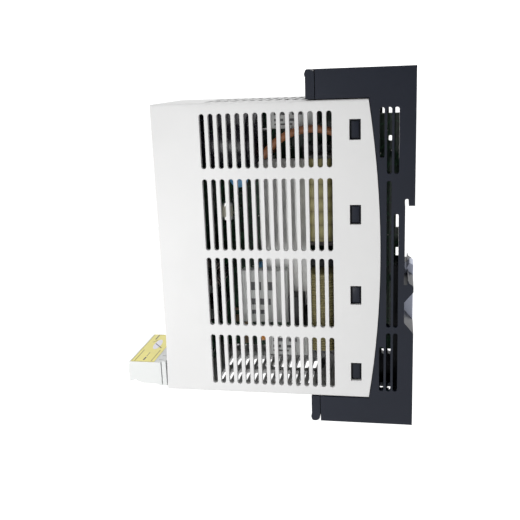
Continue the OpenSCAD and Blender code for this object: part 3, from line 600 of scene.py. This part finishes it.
electrolytic("bulk_capacitor_can", solids("bulk_capacitor")[0], "Y", False, "sleeve", "bulk_capacitor")
bulk = solids("bulk_capacitor")[0]
bulk_at = middle(bulk)
bm = bmesh.new()
for dz in (-5, 5):
    add_tube(bm, [(bulk_at.x, bulk[1].y - 0.5, bulk_at.z + dz), (bulk_at.x, bulk[1].y + 2.2, bulk_at.z + dz),
                  (bulk_at.x - 1.4, bulk[1].y + 3.4, bulk_at.z + dz),
                  (BOARD_FACE - WIRE_SINK, bulk[1].y + 3.4, bulk_at.z + dz)], 0.5)
piece("bulk_capacitor_leads", bm, "tin", "housing")
for i, box in enumerate(solids("output_capacitors")):
    electrolytic(f"output_capacitor_{i + 1}", box, "X", True, "grey_sleeve",
                 "output_capacitors" if i == 0 else None)


def coated_disc(name, box, material, stands_for=()):
    """A dipped disc that is thick at its middle and thin at its rim, on two wires."""
    at = middle(box)
    at.x = box[0].x
    thick = box[1].x - box[0].x
    r = (box[1].y - box[0].y) / 2
    profile = [(0, 0.1 * thick), (0.5 * r, 0), (0.82 * r, 0.1 * thick), (0.96 * r, 0.3 * thick),
               (r, 0.5 * thick),
               (0.96 * r, 0.7 * thick), (0.82 * r, 0.9 * thick), (0.5 * r, thick), (0, 0.96 * thick)]
    body = bmesh.new()
    add_lathe(body, profile, at, "X", 48)
    for dz in (-0.5, 0.5):
        add_tube(body, [(at.x + 0.4 * thick, at.y, at.z + dz * r), (at.x - 1.6, at.y, at.z + dz * r)], 0.75)
    piece(name, body, material, "housing", stands_for)
    leads(name + "_wires", [(at.x - 1.2, at.y, at.z + dz * r) for dz in (-0.5, 0.5)], 0.35)


for i, box in enumerate(solids("suppressor_capacitors")):
    coated_disc(f"disc_capacitor_{i + 1}", box, "blue", ["suppressor_capacitors"] if i == 0 else ())
coated_disc("varistor_disc", solids("varistor")[0], "orange", ["varistor"])

FUSE_CAP = 1.7
fuse_box = solids("fuse")[0]
fuse_at = middle(fuse_box)
fuse_at.z = fuse_box[0].z
fuse_r = (fuse_box[1].x - fuse_box[0].x) / 2
fuse_l = fuse_box[1].z - fuse_box[0].z
bm = bmesh.new()
add_lathe(bm, [(0, 0.5), (fuse_r - 0.25, 0.5), (fuse_r - 0.15, 0.9), (fuse_r - 0.15, fuse_l - 0.9),
               (fuse_r - 0.25, fuse_l - 0.5), (0, fuse_l - 0.5)], fuse_at, "Z")
piece("fuse_tube", bm, "fuse", "housing", ["fuse"])
bm = bmesh.new()
for low, up in ((0, 1), (fuse_l, -1)):
    add_lathe(bm, [(0, low), (fuse_r - 0.4, low), (fuse_r, low + 0.4 * up),
                   (fuse_r, low + FUSE_CAP * up), (fuse_r - 0.3, low + FUSE_CAP * up),
                   (fuse_r - 0.3, low + 0.5 * up), (0, low + 0.5 * up)], fuse_at, "Z")
piece("fuse_caps", bm, "tin", "housing")
leads("fuse_wires", [(fuse_at.x, fuse_at.y, fuse_at.z + z) for z in (0.8, fuse_l - 0.8)], 0.45)

bm = bmesh.new()
for box in solids("status_leds"):
    at = middle(box)
    at.y = box[0].y
    r = (box[1].x - box[0].x) / 2
    length = box[1].y - box[0].y
    dome = [(r * math.sin(a), r - r * math.cos(a)) for a in (math.pi / 12 * k for k in range(7))]
    add_lathe(bm, dome + [(r, length - 1), (r - 0.15, length), (0, length)], at, "Y", 32)
piece("status_lamps", bm, "led", "housing", ["status_leds"])

# ---- Wound parts ----

LEG_CLEARANCE = 0.1
LEG_HALF_DEPTH = 3.1


def coil(name, node, material, pitch, groove, corner=3.0):
    """A winding with a real groove between turns, round the opening that its core's leg passes through."""
    box = solids(node)[0]
    at = middle(box)
    half_u, half_v = (box[1].x - box[0].x) / 2, (box[1].y - box[0].y) / 2
    low, high = box[0].z, box[1].z
    core = solids(node.replace("winding", "core"))[0]
    leg_near, leg_far = core[1].x + LEG_CLEARANCE, core[0].x - LEG_CLEARANCE
    leg_rear, leg_front = at.y + LEG_HALF_DEPTH, at.y - LEG_HALF_DEPTH
    inner = [(leg_near, leg_rear), (leg_far, leg_rear), (leg_far, leg_front), (leg_near, leg_front)]
    bm = bmesh.new()
    turns = max(int((high - low) / pitch), 1)
    levels = []
    turn_profile = ((0.0, groove), (0.14, groove * 0.3), (0.35, 0), (0.65, 0), (0.86, groove * 0.3))
    for k in range(turns):
        base = low + k * (high - low) / turns
        for share, inset in turn_profile:
            levels.append((base + share * (high - low) / turns, inset))
    levels.append((high, groove))
    rings = []
    for z, inset in levels:
        outline = rounded_outline(half_u - inset, half_v - inset, corner)
        rings.append([bm.verts.new((at.x + u, at.y + v, z)) for u, v in outline])
    for one, two in zip(rings, rings[1:]):
        for i in range(len(one)):
            j = (i + 1) % len(one)
            bm.faces.new((one[i], one[j], two[j], two[i]))
    wells = [[bm.verts.new((u, v, z)) for u, v in inner] for z in (low, high)]
    for i in range(4):
        j = (i + 1) % 4
        bm.faces.new((wells[0][i], wells[0][j], wells[1][j], wells[1][i]))
    quarter = len(rings[0]) // 4
    for ring, well in ((rings[0], wells[0]), (rings[-1], wells[1])):
        for k in range(4):
            arc = ring[k * quarter:(k + 1) * quarter]
            after = ring[((k + 1) * quarter) % len(ring)]
            bm.faces.new(arc + [well[k]])
            bm.faces.new((arc[-1], after, well[(k + 1) % 4], well[k]))
    piece(name, bm, material, "housing", [node], smooth_angle=50)


coil("transformer_coil", "transformer_winding", "tape", 5.7, 0.12)
coil("boost_choke_coil", "boost_choke_winding", "choke_tape", 1.15, 0.4)

ring_box = solids("toroid_winding")[0]
ring_at = middle(ring_box)
core_box = solids("toroid_core")[0]
ring_out = (core_box[1].y - core_box[0].y) / 2
ring_in = 3.2
ring_half = (core_box[1].x - core_box[0].x) / 2
TOROID_TURNS = 20
TOROID_WIRE = 0.42
TOROID_WOUND_SHARE = 0.93
TOROID_SQUARENESS = 0.4
TOROID_GAP = 0.05
ring_steps = TOROID_TURNS * 16


def squared(value, reach):
    """A sine or cosine flattened towards a rounded square of the given reach."""
    return math.copysign(abs(value) ** TOROID_SQUARENESS, value) * reach


path = []
for k in range(ring_steps + 1):
    sweep = 2 * math.pi * TOROID_WOUND_SHARE * k / ring_steps
    roll = 2 * math.pi * TOROID_TURNS * k / ring_steps
    radial = (ring_in + ring_out) / 2 + squared(math.cos(roll),
                                                (ring_out - ring_in) / 2 + TOROID_WIRE + TOROID_GAP)
    along = squared(math.sin(roll), ring_half + TOROID_WIRE + TOROID_GAP)
    path.append((ring_at.x + along, ring_at.y + radial * math.cos(sweep),
                 ring_at.z + radial * math.sin(sweep)))
bm = bmesh.new()
add_tube(bm, path, TOROID_WIRE, 8)
piece("toroid_turns", bm, "enamel", "housing", ["toroid_winding"], smooth_angle=60)
leads("toroid_ends", [path[0], path[-1]], TOROID_WIRE, "enamel")

# ---- Boxed parts ----

MARK_RISE = 0.04
TRANSISTOR_LEG_PITCH = 2.3


def film_capacitor(name, box, stands_for=()):
    """A moulded box with rounded edges, and plain printed bars on its near face."""
    low, high = box
    box_piece(name, low, high, "film", "housing", 0.5, stands_for, 3)
    wide, tall = high.y - low.y, high.z - low.z
    marks = bmesh.new()
    spots = [(0.1, 0.62, 0.42, 0.78), (0.5, 0.62, 0.72, 0.78), (0.1, 0.34, 0.3, 0.46),
             (0.36, 0.34, 0.62, 0.46), (0.1, 0.16, 0.5, 0.24)]
    for u0, v0, u1, v1 in spots:
        add_box(marks, (high.x - MARK_RISE, low.y + u0 * wide, low.z + v0 * tall),
                (high.x + MARK_RISE, low.y + u1 * wide, low.z + v1 * tall), 0.01, 1)
    piece(name + "_marks", marks, "mark", "housing")
    inset = 0.15 * wide
    leads(name + "_pins", [(low.x + 0.5, y, middle(box).z) for y in (low.y + inset, high.y - inset)])


for i, box in enumerate(solids("filter_capacitors")):
    film_capacitor(f"film_capacitor_{i + 1}", box, ["filter_capacitors"] if i == 0 else ())

for i, box in enumerate(solids("power_transistors")):
    low, high = box
    box_piece(f"transistor_{i + 1}", (low.x, low.y, low.z + 3.2), (high.x - 0.9, high.y, high.z),
              "black", "housing", 0.35, ["power_transistors"] if i == 0 else ())
    box_piece(f"transistor_{i + 1}_tab", (high.x - 1.2, low.y + 0.3, low.z + 4.2),
              (high.x, high.y - 0.3, high.z - 0.6), "tin", "housing", 0.2)
    bm = bmesh.new()
    for k in (-1, 0, 1):
        x, y = middle(box).x, middle(box).y + TRANSISTOR_LEG_PITCH * k
        add_tube(bm, [(x, y, low.z + 3.8), (x, y, low.z + 1.2), (x - 0.8, y, low.z + 0.5),
                      (BOARD_FACE - WIRE_SINK, y, low.z + 0.5)], 0.42, 8)
    piece(f"transistor_{i + 1}_legs", bm, "tin", "housing")

low, high = solids("bridge_rectifier")[0]
box_piece("bridge_rectifier_case", low, high, "black", "housing", 0.5, ["bridge_rectifier"], 3)
leads("bridge_rectifier_legs", [(low.x + 0.4, middle((low, high)).y, low.z + 2 + k * (high.z - low.z - 4) / 3)
                                for k in range(4)], 0.5)

# ---- Small parts on the boards ----

CHIP_COUNT = 90
SOLDER_JOINT_COUNT = 70
INNER_CHIP_COUNT = 22
CHIP_HEIGHT = 0.8
CHIP_SINK = 0.05
SOLDER_JOINT = [(0, -1.0), (0.3, -0.95), (0.45, -0.45), (0.9, -0.1), (1.0, 0.05), (0, 0.05)]
board_low, board_high = solids("main_board")[0]
chips, ceramics, joints = bmesh.new(), bmesh.new(), bmesh.new()
for k in range(CHIP_COUNT):
    y = dice.uniform(board_low.y + 5, board_high.y - 16)
    z = dice.uniform(board_low.z + 4, board_high.z - 6)
    half_y, half_z = dice.choice(((0.6, 1.0), (1.0, 0.6), (0.8, 1.6), (1.6, 0.8)))
    target = chips if dice.random() < 0.6 else ceramics
    add_box(target, (board_low.x - CHIP_HEIGHT, y - half_y, z - half_z),
            (board_low.x + CHIP_SINK, y + half_y, z + half_z), 0.12, 1)
for k in range(SOLDER_JOINT_COUNT):
    y = dice.uniform(board_low.y + 4, board_high.y - 14)
    z = dice.uniform(board_low.z + 4, board_high.z - 6)
    add_lathe(joints, SOLDER_JOINT, (board_low.x, y, z), "X", 14)
for k in range(INNER_CHIP_COUNT):
    y = dice.uniform(board_low.y + 7, -62)
    z = dice.uniform(board_low.z + 2, -42)
    half_y, half_z = dice.choice(((0.6, 1.0), (1.0, 0.6), (1.2, 1.8)))
    target = chips if dice.random() < 0.5 else ceramics
    add_box(target, (board_high.x - CHIP_SINK, y - half_y, z - half_z),
            (board_high.x + dice.uniform(0.6, 1.4), y + half_y, z + half_z), 0.12, 1)
piece("board_chips", chips, "chip", "housing")
piece("board_ceramics", ceramics, "ceramic", "housing")
piece("board_solder_joints", joints, "solder", "housing")

# ---- Labels ----

label_low, label_high = solids("plug_label")[0]
INK = 0.03
top = label_high.z - INK / 2


def ink(name, shapes, material, level=top, rise=INK, axis="Z", body="plug"):
    bm = bmesh.new()
    for outline in shapes:
        add_prism(bm, outline, level, rise, axis)
    piece(name, bm, material, body)


front, rear = label_low.y, label_high.y
near, far = label_high.x, label_low.x
ink("plug_label_lines", [stroke((near - 0.4, front + 1.7), (9.4, front + 1.7), 0.42),
                         stroke((near - 0.6, rear - 1.6), (9.1, rear - 1.6), 0.42),
                         stroke((near - 0.25, front + 0.3), (near - 0.25, rear - 0.3), 0.3),
                         stroke((near - 0.5, front + 0.3), (far + 0.3, front + 0.3), 0.22),
                         stroke((-0.5, -118.4), (-3.8, -116.6), 0.5),
                         stroke((-5.0, -113.0), (-9.5, -112.2), 0.6)], "line")
ink("plug_label_marks", [stroke((21.9, -115.4), (18.2, -115.4), 0.7),
                         stroke((17.2, -115.4), (12.4, -115.4), 0.3),
                         stroke((-4.4, -118.2), (far + 0.6, -118.3), 0.55),
                         stroke((far + 0.6, -118.3), (far + 0.6, -115.7), 0.5)], "ink")
ink("plug_label_oval", [oval((2.1, -115), 6.3, 1.75, 0.06)], "white", top, INK * 1.5)
ink("plug_label_stripe", [stroke((1.0, -116.4), (6.5, -111.9), 0.5)], "ink", top, INK * 2.2)
# painted shadow: thin dark strips stand for the shaded gaps where the plug meets the header
ink("plug_seam_shadows", [stroke((15.5, -108.4), (15.5, -106.8), 0.25),
                   stroke((20.5, -108.5), (20.5, -106.4), 0.25)], "mark", label_low.z - 0.02, 0.05)

plate_low, plate_high = solids("rating_label")[0]
face = plate_low.y - INK / 2
PRINT_ROWS = 9
PRINT_PITCH = 2.6
PRINT_TOP = 13
rows = []
for k in range(PRINT_ROWS):
    z = plate_high.z - PRINT_TOP - PRINT_PITCH * k
    rows.append(stroke((plate_low.x + 3, z), (plate_low.x + (16, 13, 17, 10)[k % 4], z), 0.45))
    rows.append(stroke((plate_low.x + 20, z), (plate_low.x + (33, 30, 34)[k % 3], z), 0.45))
rows.append(stroke((plate_low.x + 2.5, plate_high.z - 9.6), (plate_high.x - 2.5, plate_high.z - 9.6), 0.25))
rows.append(stroke((plate_low.x + 3, plate_high.z - 5), (plate_low.x + 21, plate_high.z - 5), 2.6))
for x in (4, 11, 18):
    a, b, z0, z1 = plate_low.x + x, plate_low.x + x + 5, plate_low.z + 2.6, plate_low.z + 7.6
    rows += [stroke((a, z0), (b, z0), 0.3), stroke((a, z1), (b, z1), 0.3), stroke((a, z0), (a, z1), 0.3),
             stroke((b, z0), (b, z1), 0.3)]
ink("rating_label_print", rows, "ink", face, INK, "Y", "housing")
